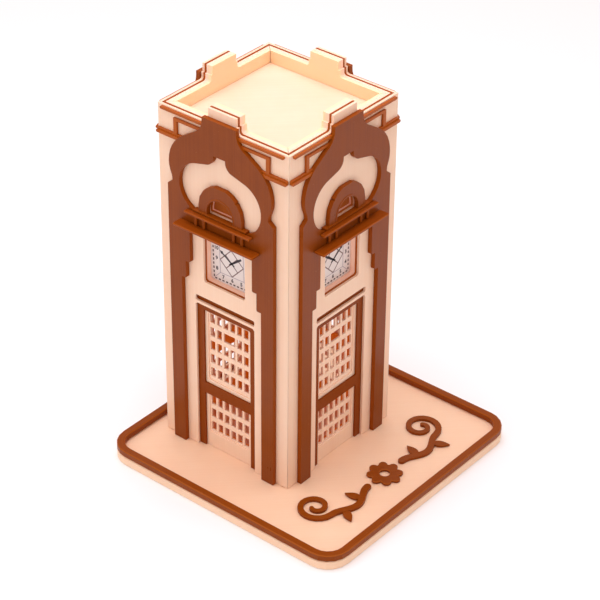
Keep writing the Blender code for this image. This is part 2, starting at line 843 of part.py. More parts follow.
def make_scroll(shop, name, flip, middle_y, looks):
    """One scroll with two leaves, raised on the plinth's front margin."""
    low, high = plate_top + glue_line, plate_top + glue_line + relief_height

    def placed(points):
        """Move an outline to the ornament's middle line, mirrored for the left one."""
        moved = [(x * flip, y + middle_y) for x, y in points]
        return moved if flip > 0 else moved[::-1]

    line = scroll_line()
    widths = [ribbon_width + (ribbon_tip - ribbon_width) * index / (len(line) - 1)
              for index in range(len(line))]
    scroll = shop.solid(name, [placed(ribbon(line, widths))], low, high, upright=False)
    shop.join(scroll, [
        shop.solid(f"{name}_leaf_{number}", [placed(leaf_outline(line[root], heading))],
                   low + leaf_step, high - leaf_step, upright=False)
        for number, (root, heading) in enumerate(leaf_roots)])
    scroll.data.materials.append(piece_look(name, looks["brown"]))


def make_rosette(shop, middle_y, looks):
    """Petalled rosette with an open eye in the middle of the ornament."""
    points = []
    steps = petal_count * petal_points
    for index in range(steps):
        angle = 2 * math.pi * index / steps
        lobe = abs(math.cos(petal_count * angle / 2))
        radius = rosette_notch + (rosette_radius - rosette_notch) * lobe ** petal_fullness
        points.append((radius * math.cos(angle), middle_y + radius * math.sin(angle)))
    eye = arc((0.0, middle_y), rosette_eye, 0.0, 360.0, EYE_STEP)[:-1]
    rosette = shop.solid("plinth_rosette", [points, eye], plate_top + glue_line,
                         plate_top + glue_line + relief_height, upright=False)
    rosette.data.materials.append(piece_look("plinth_rosette", looks["brown"]))


def make_ornament(shop, looks):
    """Rosette between two mirrored scrolls on the front margin."""
    middle_y = -plinth_depth / 2 + rim_width + relief_inset
    make_rosette(shop, middle_y, looks)
    make_scroll(shop, "plinth_scroll_right", 1.0, middle_y, looks)
    make_scroll(shop, "plinth_scroll_left", -1.0, middle_y, looks)


# -------------------------------------------------------------------------- build
def build():
    """Build the whole model."""
    clear_scene()
    shop = Shop(new_collection("clock_tower_model"), new_collection("cutters"))
    looks = {
        "ivory": ((0.88, 0.66, 0.50), 0.5),
        "brown": ((0.25, 0.075, 0.03), 0.45),
        "paper": ((0.78, 0.74, 0.76), 0.7),
    }
    axis = bpy.data.objects.new("tower_axis", None)
    axis.location = (0.0, tower_setback, 0.0)
    shop.parts.objects.link(axis)
    make_plinth(shop, looks)
    make_ornament(shop, looks)
    dress_tower(shop, axis, looks)
    make_roof(shop, axis, looks)


build()
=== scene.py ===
"""Dresses a printed souvenir clock tower: plastic strands, paper dials and a studio.

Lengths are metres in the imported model's frame. The tower's axis stands a little behind
the middle of the plinth, and each of its four faces looks along one axis.
"""

import logging
import math
from dataclasses import dataclass, field, replace
from enum import Enum, IntEnum
from typing import ClassVar, Iterable, Union

import bpy
from mathutils import Matrix, Vector


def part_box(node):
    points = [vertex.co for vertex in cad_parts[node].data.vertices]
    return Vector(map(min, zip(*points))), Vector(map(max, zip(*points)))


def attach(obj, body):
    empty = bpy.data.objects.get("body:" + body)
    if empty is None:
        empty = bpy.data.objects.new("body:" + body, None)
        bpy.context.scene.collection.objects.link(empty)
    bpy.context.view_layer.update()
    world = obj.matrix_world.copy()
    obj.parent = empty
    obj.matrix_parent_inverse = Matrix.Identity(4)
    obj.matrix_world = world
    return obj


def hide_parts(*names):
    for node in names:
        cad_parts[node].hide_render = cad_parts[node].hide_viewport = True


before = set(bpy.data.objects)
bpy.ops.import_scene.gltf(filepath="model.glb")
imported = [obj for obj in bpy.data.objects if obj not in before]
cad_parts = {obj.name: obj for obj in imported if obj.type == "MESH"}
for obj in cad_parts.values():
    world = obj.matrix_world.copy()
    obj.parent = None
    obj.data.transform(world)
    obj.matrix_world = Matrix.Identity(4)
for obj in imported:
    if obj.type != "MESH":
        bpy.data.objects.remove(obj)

MM = 0.001
BODY = "root"
SETBACK = 14.8 * MM  # tower axis behind the middle of the plinth
BREAK_ANGLE = 32.0  # degrees between two faces whose edge is broken
SMOOTH_ANGLE = 12.0  # degrees between two faces that read as one curve
LEVEL_ANGLE = 0.5  # degrees between two faces that are one flat face
MERGE_REACH = 0.001 * MM  # between corners that are one
FLAT_LIMIT = 0.7  # cosine above which a face looks along the build direction

Colour = tuple[float, float, float]
Point = tuple[float, float]
NO_LIGHT: Colour = (0.0, 0.0, 0.0)

log = logging.getLogger("clock_tower")


class Side(Enum):
    """The four faces of the tower, with their turn from the front in degrees."""

    FRONT = 0.0
    RIGHT = 90.0
    BACK = 180.0
    LEFT = 270.0

    @property
    def label(self) -> str:
        """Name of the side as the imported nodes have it."""
        return self.name.lower()

    @property
    def turn(self) -> Matrix:
        """Turn about the tower's axis that takes the front face to this side."""
        axis = Matrix.Translation((0.0, SETBACK, 0.0))
        return axis @ Matrix.Rotation(math.radians(self.value), 4, "Z") @ axis.inverted()

    @property
    def grain(self) -> "Grain":
        """Strand pattern of the sheets on this side."""
        return Grain.UPRIGHT_X if self in (Side.FRONT, Side.BACK) else Grain.UPRIGHT_Y

    @property
    def ledge_grain(self) -> "Grain":
        """Strand pattern of the ledges on this side."""
        return Grain.ALONG_X if self in (Side.FRONT, Side.BACK) else Grain.ALONG_Y


class Look(IntEnum):
    """Material slots of a dressed piece."""

    FACE = 0
    # Slot of the painted highlight on broken edges and narrow sides.
    EDGE = 1
    # Slot of the bars' lighter brown, painted light.
    BAR = 2


class Grain(Enum):
    """How the strands of a printed piece run."""

    UPRIGHT_X = "sheet printed lying down, its strands upright, facing front or back"
    UPRIGHT_Y = "the same, facing left or right"
    ALONG_X = "ledge whose strands run from left to right"
    ALONG_Y = "ledge whose strands run from front to back"
    DIAGONAL = "flat plate with diagonal strands"
    LOOPS = "strands that follow the plinth's outline"


# ------------------------------------------------------------------- shader building
class Wire:
    """A socket of one material; arithmetic on it adds Math nodes."""

    def __init__(self, loom: "Loom", socket: bpy.types.NodeSocket) -> None:
        """Keep the socket with the loom that it belongs to."""
        self.loom = loom
        self.socket = socket

    def __add__(self, other: "Number") -> "Wire":
        """Sum."""
        return self.loom.math("ADD", self, other)

    __radd__ = __add__

    def __sub__(self, other: "Number") -> "Wire":
        """Difference."""
        return self.loom.math("SUBTRACT", self, other)

    def __rsub__(self, other: "Number") -> "Wire":
        """Difference from a plain number."""
        return self.loom.math("SUBTRACT", other, self)

    def __mul__(self, other: "Number") -> "Wire":
        """Product."""
        return self.loom.math("MULTIPLY", self, other)

    __rmul__ = __mul__

    def __truediv__(self, other: "Number") -> "Wire":
        """Quotient."""
        return self.loom.math("DIVIDE", self, other)

    def __gt__(self, other: "Number") -> "Wire":
        """One where this is greater, otherwise zero."""
        return self.loom.math("GREATER_THAN", self, other)

    def __abs__(self) -> "Wire":
        """Size without its sign."""
        return self.loom.math("ABSOLUTE", self)

    def __pow__(self, power: "Number") -> "Wire":
        """Power."""
        return self.loom.math("POWER", self, power)

    def fraction(self) -> "Wire":
        """What is left above the whole number."""
        return self.loom.math("FRACT", self)

    def whole(self) -> "Wire":
        """Whole number below."""
        return self.loom.math("FLOOR", self)

    def at_least(self, other: "Number") -> "Wire":
        """The greater of the two."""
        return self.loom.math("MAXIMUM", self, other)

    def at_most(self, other: "Number") -> "Wire":
        """The smaller of the two."""
        return self.loom.math("MINIMUM", self, other)

    def clamped(self) -> "Wire":
        """The value held between zero and one."""
        return self.at_least(0.0).at_most(1.0)


Number = Union[Wire, float]


class Loom:
    """Node tree of one material, with the calls that its finishes need."""

    def __init__(self, name: str) -> None:
        """Start a material with its Principled shader.

        Args:
            name: Name of the new material.
        """
        self.material = bpy.data.materials.new(name)
        self.material.use_nodes = True
        self.tree = self.material.node_tree
        self.shader = self.tree.nodes["Principled BSDF"]
        self.places = self.node("ShaderNodeTexCoord", {}, {})

    def node(self, kind: str, settings: dict, inputs: dict) -> bpy.types.Node:
        """Add a node.

        Args:
            kind: Type name of the node.
            settings: Attributes that are set first.
            inputs: Values or wires by the socket's name or number.

        Returns:
            The new node.
        """
        node = self.tree.nodes.new(kind)
        for attribute, value in settings.items():
            setattr(node, attribute, value)
        for key, value in inputs.items():
            self.feed(node.inputs[key], value)
        return node

    def feed(self, socket: bpy.types.NodeSocket, value: object) -> None:
        """Link a wire to a socket, or set a plain value on it.

        Args:
            socket: Input socket of one of the material's nodes.
            value: Wire, number or colour.
        """
        if isinstance(value, Wire):
            self.tree.links.new(value.socket, socket)
        else:
            socket.default_value = value

    def math(self, operation: str, *values: Number) -> Wire:
        """Add a Math node and return its result."""
        node = self.node("ShaderNodeMath", {"operation": operation},
                         dict(enumerate(values)))
        return Wire(self, node.outputs[0])

    def split(self, output: str) -> tuple[Wire, Wire, Wire]:
        """X, Y and Z of one output of the texture coordinates.

        Args:
            output: Name of the output, such as Object or Normal.

        Returns:
            The three numbers as wires.
        """
        node = self.node("ShaderNodeSeparateXYZ", {},
                         {"Vector": Wire(self, self.places.outputs[output])})
        x, y, z = (Wire(self, node.outputs[index]) for index in range(3))
        return x, y, z

    def noise(self, place: Wire, scale: float, detail: float = 2.0) -> Wire:
        """Soft noise between zero and one.

        Args:
            place: Where on the piece it is read.
            scale: Waves in a metre.
            detail: Finer waves laid over the first.

        Returns:
            The noise as one number.
        """
        node = self.node("ShaderNodeTexNoise", {},
                         {"Vector": place, "Scale": scale, "Detail": detail})
        return Wire(self, node.outputs[0])

    def chance(self, value: Wire) -> Wire:
        """A steady random number between zero and one for each whole number."""
        node = self.node("ShaderNodeTexWhiteNoise", {"noise_dimensions": "1D"},
                         {"W": value})
        return Wire(self, node.outputs["Value"])

    def blend(self, share: Number, first: object, second: object) -> Wire:
        """Mix two colours by a share of the second."""
        node = self.node("ShaderNodeMix", {"data_type": "RGBA"},
                         {0: share, 6: first, 7: second})
        return Wire(self, node.outputs[2])

    def choose(self, share: Wire, first: Wire, second: Wire) -> Wire:
        """Value that goes from the first to the second as the share grows."""
        return first + share * (second - first)

    def relief(self, height: Wire) -> None:
        """Drive the shader's normal by a height in metres."""
        bump = self.node("ShaderNodeBump", {}, {"Strength": 1.0, "Distance": 1.0,
                                                "Height": height})
        self.feed(self.shader.inputs["Normal"], Wire(self, bump.outputs[0]))

    def settle(self, **values: object) -> None:
        """Set or feed the shader's sockets, with their names' spaces as underscores."""
        for name, value in values.items():
            self.feed(self.shader.inputs[name.replace("_", " ")], value)


def opaque(colour: Colour) -> tuple[float, float, float, float]:
    """The colour with full opacity."""
    return (*colour, 1.0)


# ---------------------------------------------------------------------------- finishes
@dataclass(frozen=True)
class Hollow:
    """Where the inner side of the tower's walls is seen, which gets painted bounce colour
    and glow.
    """

    skin: float = 24.4 * MM  # distance from the tower's axis below which it begins
    door_top: float = 62.0 * MM  # height below which it is seen through the lattices
    tray_floor: float = 122.0 * MM  # height above which it is the roof's tray


@dataclass(frozen=True)
class PrintedPlastic:
    """Satin plastic laid down in strands, layer on layer.

    Broken edges and narrow sides have a gloss of their own and a lighter colour, a painted
    highlight. The inner side of the walls is painted in bounce colours: one behind the
    doors and one round the roof. A painted glow, no lamp, stands for light that comes
    through the
    plastic: behind the doors, on the sides of the openings above them, and all over a thin
    panel.
    """

    name: str
    colour: Colour
    deep: Colour
    fleck: Colour
    roughness: float
    fleck_level: float
    fleck_share: float = 0.5
    fleck_scale: float = 1500.0
    strand: float = 0.45 * MM
    strand_relief: float = 0.012 * MM
    strand_tone: float = 0.5
    strand_roughness: float = 0.04
    drift: float = 0.25  # strands that wander, as a share of one
    drift_scale: float = 90.0
    layer: float = 0.2 * MM
    layer_relief: float = 0.02 * MM
    layer_start: float = 0.37  # keeps level faces off the border of two layers
    cloud_scale: float = 140.0
    cloud_tone: float = 1.1
    cloud_roughness: float = 0.2
    grit_scale: float = 2600.0
    grit_share: float = 0.5  # of the strands' relief
    refraction: float = 1.46
    gloss: float = 0.5
    glow: float = 0.45
    glow_reach: float = 0.6 * MM
    glow_radius: Colour = (0.7, 0.8, 1.0)
    # Painted highlight colour of broken edges and narrow sides.
    edge: Colour | None = None
    edge_gloss: float = 0.0
    # Painted bounce colours of the walls' inner side: behind the doors, then round the
    # roof.
    within: Colour | None = None
    tray: Colour | None = None
    # Painted glows, no lamp: behind the doors, on the jambs above them, over a thin panel.
    inside: Colour = NO_LIGHT
    jamb: Colour = NO_LIGHT
    core: Colour = NO_LIGHT
    skin_depth: float = 0.9 * MM

    def across(self, loom: Loom, grain: Grain) -> tuple[Wire, Wire, Wire]:
        """Directions of one piece's print.

        Args:
            loom: Material that is built.
            grain: How the strands run.

        Returns:
            The place across the strands, the place along the build direction, and how
            far the surface faces that direction.
        """
        x, y, z = loom.split("Object")
        nx, ny, nz = loom.split("Normal")
        if grain is Grain.UPRIGHT_X:
            return x, y, abs(ny)
        if grain is Grain.UPRIGHT_Y:
            return y, x, abs(nx)
        if grain is Grain.ALONG_X:
            return y, z, abs(nz)
        if grain is Grain.ALONG_Y:
            return x, z, abs(nz)
        if grain is Grain.DIAGONAL:
            return (x + y) * math.sqrt(0.5), z, abs(nz)
        inner = Plinth.half_width - Plinth.corner
        side_x, side_y = abs(x) - inner, abs(y) - inner
        corner = (side_x.at_least(0.0) ** 2.0 + side_y.at_least(0.0) ** 2.0) ** 0.5
        return corner + side_x.at_least(side_y).at_most(0.0), z, abs(nz)

    def edged(self, label: str, grain: Grain) -> tuple[bpy.types.Material, ...]:
        """Looks of one piece's faces and of its broken edges, the latter a lighter painted
        highlight.

        Args:
            label: Name of the piece.
            grain: How its strands run.

        Returns:
            The material of the faces, then that of the edges.
        """
        edge = replace(self, name=f"{self.name}_edge", colour=self.edge or self.colour,
                       deep=self.edge or self.deep, gloss=self.edge_gloss or self.gloss)
        return self.material(label, grain), edge.material(label, grain)

    def material(self, label: str, grain: Grain, hollow: Hollow | None = None
                 ) -> bpy.types.Material:
        """Build the look for one piece.

        Args:
            label: Name of the piece.
            grain: How its strands run.
            hollow: Where the plastic's inner side is seen, or none where it isn't.

        Returns:
            The new material.
        """
        loom = Loom(f"{self.name}_{label}")
        across, build, facing = self.across(loom, grain)
        place = Wire(loom, loom.places.outputs["Object"])
        flat = facing > FLAT_LIMIT
        drift = loom.noise(place, self.drift_scale) * (self.drift * self.strand)
        strands = (across + drift) / self.strand
        layers = build / self.layer + self.layer_start
        ridge = loom.choose(flat, self.ridge(layers) * self.layer_relief,
                            self.ridge(strands) * self.strand_relief)
        tone = loom.choose(flat, loom.chance(layers.whole()),
                           loom.chance(strands.whole()))
        cloud = loom.noise(place, self.cloud_scale, detail=3.0)
        grit = loom.noise(place, self.grit_scale)
        share = (0.5 + (tone - 0.5) * self.strand_tone
                 + (cloud - 0.5) * self.cloud_tone).clamped()
        body = loom.blend(share, opaque(self.deep), opaque(self.colour))
        specks = loom.noise(place, self.fleck_scale, detail=1.0) > self.fleck_level
        coat = loom.blend(specks * self.fleck_share, body, opaque(self.fleck))
        rough = (self.roughness + (cloud - 0.5) * self.cloud_roughness
                 + (tone - 0.5) * self.strand_roughness)
        # Emission is a painted glow over a thin panel, no lamp.
        loom.settle(
            Base_Color=coat, Roughness=rough.clamped(), IOR=self.refraction,
            Specular_IOR_Level=self.gloss, Subsurface_Weight=self.glow,
            Subsurface_Scale=self.glow_reach, Subsurface_Radius=self.glow_radius,
            Emission_Color=opaque(self.core), Emission_Strength=1.0)
        if hollow:
            self.let_through(loom, grain, coat, hollow)
        loom.relief(ridge + (grit - 0.5) * (self.grit_share * self.strand_relief))
        return loom.material

    def let_through(self, loom: Loom, grain: Grain, coat: Wire, hollow: Hollow) -> None:
        """Paint a wall's inner side in bounce colour, and add a painted glow for the light
        through it.

        Args:
            loom: Material that is built.
            grain: How the strands run.
            coat: Colour of the outer side.
            hollow: Where the inner side is seen.
        """
        x, y, z = loom.split("Object")
        nx, ny, _ = loom.split("Normal")
        upright = grain is Grain.UPRIGHT_X
        depth, facing = (abs(y - SETBACK), abs(ny)) if upright else (abs(x), abs(nx))
        share = ((hollow.skin - depth) / self.skin_depth).clamped()
        above = z > hollow.door_top
        # Painted glow, no lamp: behind the doors, and on the jambs above them.
        low = loom.blend(share, opaque(NO_LIGHT), opaque(self.inside))
        aside = 1.0 - (facing > FLAT_LIMIT)
        high = loom.blend(aside, opaque(NO_LIGHT), opaque(self.jamb))
        # Painted bounce colour of the inner side, behind the doors and round the roof's
        # tray.
        within = loom.blend(share * (1.0 - above), coat,
                            opaque(self.within or self.colour))
        tray = loom.blend(share * (z > hollow.tray_floor), within,
                          opaque(self.tray or self.colour))
        loom.settle(Emission_Color=loom.blend(above, low, high), Base_Color=tray)

    @staticmethod
    def ridge(strands: Wire) -> Wire:
        """Rounded profile over each strand, from zero to one."""
        return 1.0 - (strands.fraction() * 2.0 - 1.0) ** 2.0


@dataclass(frozen=True)
class DialPaper:
    """Matt printed paper of the clock cards."""

    colour: Colour = (0.90, 0.82, 0.79)
    shade: Colour = (0.80, 0.70, 0.67)
    shade_least: float = 0.3
    shade_spread: float = 0.5
    cloud_scale: float = 220.0
    roughness: float = 0.8
    fibre_scale: float = 3200.0
    fibre_roughness: float = 0.2
    fibre_relief: float = 0.006 * MM

    def material(self, label: str) -> bpy.types.Material:
        """Build the paper for one card.

        Args:
            label: Name of the card's side.

        Returns:
            The new material.
        """
        loom = Loom(f"paper_{label}")
        place = Wire(loom, loom.places.outputs["Object"])
        fibres = loom.noise(place, self.fibre_scale, detail=4.0)
        cloud = loom.noise(place, self.cloud_scale)
        share = (self.shade_least + cloud * self.shade_spread).clamped()
        uneven = (fibres - 0.5) * self.fibre_roughness
        loom.settle(Base_Color=loom.blend(share, opaque(self.colour), opaque(self.shade)),
                    Roughness=(self.roughness + uneven).clamped())
        loom.relief(fibres * self.fibre_relief)
        return loom.material


@dataclass(frozen=True)
class Ink:
    """Printer's ink on the clock cards, slightly uneven."""

    name: str
    colour: Colour
    worn: Colour
    wear_gain: float = 1.6
    wear_start: float = 0.4
    roughness: float = 0.6
    dot_scale: float = 2400.0
    dot_roughness: float = 0.3

    def material(self, label: str) -> bpy.types.Material:
        """Build the ink for one piece.

        Args:
            label: Name of the printed piece.

        Returns:
            The new material.
        """
        loom = Loom(f"{self.name}_{label}")
        place = Wire(loom, loom.places.outputs["Object"])
        dots = loom.noise(place, self.dot_scale, detail=3.0)
        share = (dots * self.wear_gain - self.wear_start).clamped()
        uneven = (dots - 0.5) * self.dot_roughness
        loom.settle(Base_Color=loom.blend(share, opaque(self.colour), opaque(self.worn)),
                    Roughness=(self.roughness + uneven).clamped())
        return loom.material


# The ivory's inner side has painted bounce colours and painted glows.
IVORY = PrintedPlastic(
    name="ivory", colour=(0.975, 0.665, 0.495), deep=(0.95, 0.62, 0.445),
    fleck=(0.98, 0.77, 0.63), roughness=0.5, fleck_level=0.80, strand_relief=0.018 * MM,
    within=(0.80, 0.25, 0.04), tray=(0.955, 0.69, 0.425), inside=(0.12, 0.024, 0.0),
    jamb=(0.14, 0.05, 0.045))
PLATE_IVORY = replace(IVORY, name="plate_ivory", colour=(0.975, 0.65, 0.455),
                      deep=(0.95, 0.61, 0.415))
# Its edge colour, lighter, is a painted highlight.
BROWN = PrintedPlastic(
    name="brown", colour=(0.272, 0.054, 0.0018), deep=(0.208, 0.037, 0.0008),
    fleck=(0.40, 0.15, 0.06), roughness=0.33, fleck_level=0.78, strand_relief=0.02 * MM,
    strand_tone=0.4, cloud_tone=0.8, gloss=0.21, glow=0.04, edge=(0.29, 0.058, 0.002),
    edge_gloss=0.1)
# Rim and ornament brown, with a lighter edge colour that is a painted highlight.
RIM_BROWN = replace(BROWN, name="rim_brown", colour=(0.28, 0.056, 0.002),
                    deep=(0.22, 0.040, 0.001), gloss=0.13, edge=(0.34, 0.08, 0.010))
# Lighter brown of the bars: painted light.
PAINT_LIT_BAR_BROWN = replace(BROWN, name="bar_brown", colour=(0.44, 0.092, 0.005),
                    deep=(0.38, 0.076, 0.003))
# Lighter brown of shelves and canopies, painted light, with a painted edge highlight.
PAINT_LIT_LEDGE_BROWN = replace(BROWN, name="paint_lit_ledge_brown", colour=(0.31, 0.060, 0.002),
                      deep=(0.27, 0.048, 0.0015), edge=(0.37, 0.08, 0.006))
# Mid sheet brown, with a painted glow on the sides of openings above the doors.
CORE_BROWN = replace(BROWN, name="core_brown", colour=(0.26, 0.047, 0.001),
                     deep=(0.23, 0.040, 0.001), gloss=0.12, jamb=(0.15, 0.03, 0.003))
# Lunette panel in a lighter, more orange brown of painted light, with a painted glow.
PAINT_LIT_PANEL_BROWN = replace(BROWN, name="panel_brown", colour=(0.42, 0.10, 0.012),
                      deep=(0.36, 0.08, 0.008), core=(0.05, 0.014, 0.003))
PAPER = DialPaper()
DARK_INK = Ink("dark_ink", colour=(0.022, 0.014, 0.022), worn=(0.08, 0.055, 0.07))
GREY_INK = Ink("grey_ink", colour=(0.34, 0.27, 0.33), worn=(0.48, 0.40, 0.46))
ROSE_INK = Ink("rose_ink", colour=(0.18, 0.10, 0.10), worn=(0.32, 0.21, 0.20))


# ------------------------------------------------------------------------ piece making
def select_only(piece: bpy.types.Object) -> None:
    """Leave one object selected and active.

    Args:
        piece: The object that the next operator acts on.
    """
    bpy.ops.object.select_all(action="DESELECT")
    piece.select_set(True)
    bpy.context.view_layer.objects.active = piece


def wear(piece: bpy.types.Object, *looks: bpy.types.Material) -> None:
    """Give a piece its materials in the order of Look, and keep its faces' slots.

    Args:
        piece: Piece that is dressed.
        looks: One material, or more where edges or bars have their own.
    """
    slots = piece.data.materials
    while len(slots) > len(looks):
        slots.pop()
    for index, look in enumerate(looks):
        if index < len(slots):
            slots[index] = look
        else:
            slots.append(look)


def apply_modifier(piece: bpy.types.Object, kind: str, **settings: object) -> None:
    """Add a modifier, set it and apply it.

    Args:
        piece: Piece that is shaped.
        kind: Type name of the modifier.
        settings: Its attributes.
    """
    select_only(piece)
    step = piece.modifiers.new(kind.lower(), kind)
    for attribute, value in settings.items():
        setattr(step, attribute, value)
    bpy.ops.object.modifier_apply(modifier=step.name)


def softened(node: str, chamfer: float) -> bpy.types.Object:
    """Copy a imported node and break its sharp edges, as a nozzle leaves them.

    Args:
        node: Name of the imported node.
        chamfer: Width of the broken edges.

    Returns:
        The new piece, which stands for the node.
    """
    piece = bpy.data.objects.new(f"{node}_soft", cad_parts[node].data.copy())
    bpy.context.scene.collection.objects.link(piece)
    select_only(piece)
    bpy.ops.object.mode_set(mode="EDIT")
    bpy.ops.mesh.select_all(action="SELECT")
    bpy.ops.mesh.remove_doubles(threshold=MERGE_REACH)
    bpy.ops.mesh.dissolve_limited(angle_limit=math.radians(LEVEL_ANGLE))
    bpy.ops.object.mode_set(mode="OBJECT")
    while len(piece.data.materials) <= Look.EDGE:
        piece.data.materials.append(None)
    # The broken edges take the slot of the painted highlight.
    apply_modifier(piece, "BEVEL", width=chamfer, segments=1, limit_method="ANGLE",
                   angle_limit=math.radians(BREAK_ANGLE), use_clamp_overlap=True,
                   material=int(Look.EDGE))
    select_only(piece)
    bpy.ops.object.shade_smooth_by_angle(angle=math.radians(SMOOTH_ANGLE))
    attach(piece, BODY)
    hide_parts(node)
    return piece


@dataclass
class Plinth:
    """Plate, rim and raised ornament that carry the tower."""

    half_width: ClassVar[float] = 50.0 * MM
    corner: ClassVar[float] = 8.7 * MM
    plate_chamfer: float = 0.3 * MM
    rim_chamfer: float = 0.32 * MM
    relief_chamfer: float = 0.24 * MM

    def build(self) -> None:
        """Dress the plate, the rim and the ornament."""
        plate = softened("plinth_plate", self.plate_chamfer)
        wear(plate, *PLATE_IVORY.edged("plate", Grain.DIAGONAL))
        # Rim and ornament edges get a painted highlight.
        rim = softened("plinth_rim", self.rim_chamfer)
        wear(rim, *RIM_BROWN.edged("rim", Grain.LOOPS))
        for node in ("plinth_rosette", "plinth_scroll_left", "plinth_scroll_right"):
            piece = softened(node, self.relief_chamfer)
            wear(piece, *RIM_BROWN.edged(node, Grain.DIAGONAL))
        log.info("plinth: plate, rim and ornament dressed")


@dataclass
class Face:
    """Layered sheets, frame, ledges and card of one side of the tower."""

    side: Side
    sheet_chamfer: float = 0.12 * MM
    frame_chamfer: float = 0.2 * MM
    ledge_chamfer: float = 0.2 * MM
    wall_front: float = 25.5 * MM
    hollow: Hollow = Hollow()
    seam_low: float = 0.03 * MM
    seam_high: float = 0.085 * MM
    seam_reach: float = 0.5 * MM
    # Bars found by these two get a lighter brown of painted light.
    bar_front: float = 28.8 * MM  # between the front of the bars and that of the frame
    bar_foot: float = 115.0 * MM  # height above which the frame has bars

    def build(self) -> None:
        """Dress every node of this side."""
        label, grain = self.side.label, self.side.grain
        wall = softened(f"{label}_inner_wall", self.sheet_chamfer)
        # Inner wall: its hidden side gets painted bounce colour and painted glow.
        ivory = IVORY.material(f"{label}_wall", grain, self.hollow)
        wear(wall, ivory, ivory)
        sheet = softened(f"{label}_outer_sheet", self.sheet_chamfer)
        self.close_seams(sheet)
        wear(sheet, *IVORY.edged(label, grain))
        # Mid sheet with painted glow on its jambs; lunette panel lighter and glowing,
        # painted light.
        wear(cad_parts[f"{label}_mid_sheet"],
             CORE_BROWN.material(label, grain, self.hollow))
        wear(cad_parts[f"{label}_lunette_panel"], PAINT_LIT_PANEL_BROWN.material(label, grain))
        # Frame faces, painted edge highlight, then bars in a lighter brown of painted
        # light.
        brown = (*BROWN.edged(label, grain), PAINT_LIT_BAR_BROWN.material(label, grain))
        for node in ("fretwork", "lunette"):
            piece = softened(f"{label}_{node}", self.frame_chamfer)
            wear(piece, *brown)
            self.mark_faces(piece)
        # Shelf and canopy: a lighter brown of painted light and a painted edge highlight.
        ledges = PAINT_LIT_LEDGE_BROWN.edged(label, self.side.ledge_grain)
        for node in ("shelf", "canopy"):
            wear(softened(f"{label}_{node}", self.ledge_chamfer), *ledges)
        wear(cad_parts[f"{label}_clock_card"], PAPER.material(label))
        log.info("%s face: sheets, frame, ledges and card dressed", label)

    def mark_faces(self, piece: bpy.types.Object) -> None:
        """Give a flat print's narrow sides the painted edge highlight, and its thinner
        bars a lighter, painted-lit brown.

        Args:
            piece: Softened frame or arch of this side.
        """
        back = self.side.turn.inverted()
        outwards = self.side.turn.to_3x3() @ Vector((0.0, -1.0, 0.0))
        places = [back @ vertex.co for vertex in piece.data.vertices]
        for polygon in piece.data.polygons:
            outline = [places[index] for index in polygon.vertices]
            if all(SETBACK - place.y < self.bar_front and place.z > self.bar_foot
                   for place in outline):
                # Bars get the lighter brown of painted light.
                polygon.material_index = Look.BAR
            elif abs(polygon.normal @ outwards) < FLAT_LIMIT:
                # Narrow sides get the painted edge highlight.
                polygon.material_index = Look.EDGE

    def close_seams(self, sheet: bpy.types.Object) -> None:
        """Draw the mitres of a sheet towards its neighbours, most at the top.

        Args:
            sheet: Softened outer sheet of this side.
        """
        back = self.side.turn.inverted()
        low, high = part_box(f"{self.side.label}_outer_sheet")
        for vertex in sheet.data.vertices:
            place = back @ vertex.co
            if abs(place.x) < self.wall_front + self.seam_reach:
                continue
            share = (vertex.co.z - low[2]) / (high[2] - low[2])
            reach = self.seam_low + (self.seam_high - self.seam_low) * share
            place.x += math.copysign(reach, place.x)
            vertex.co = self.side.turn @ place


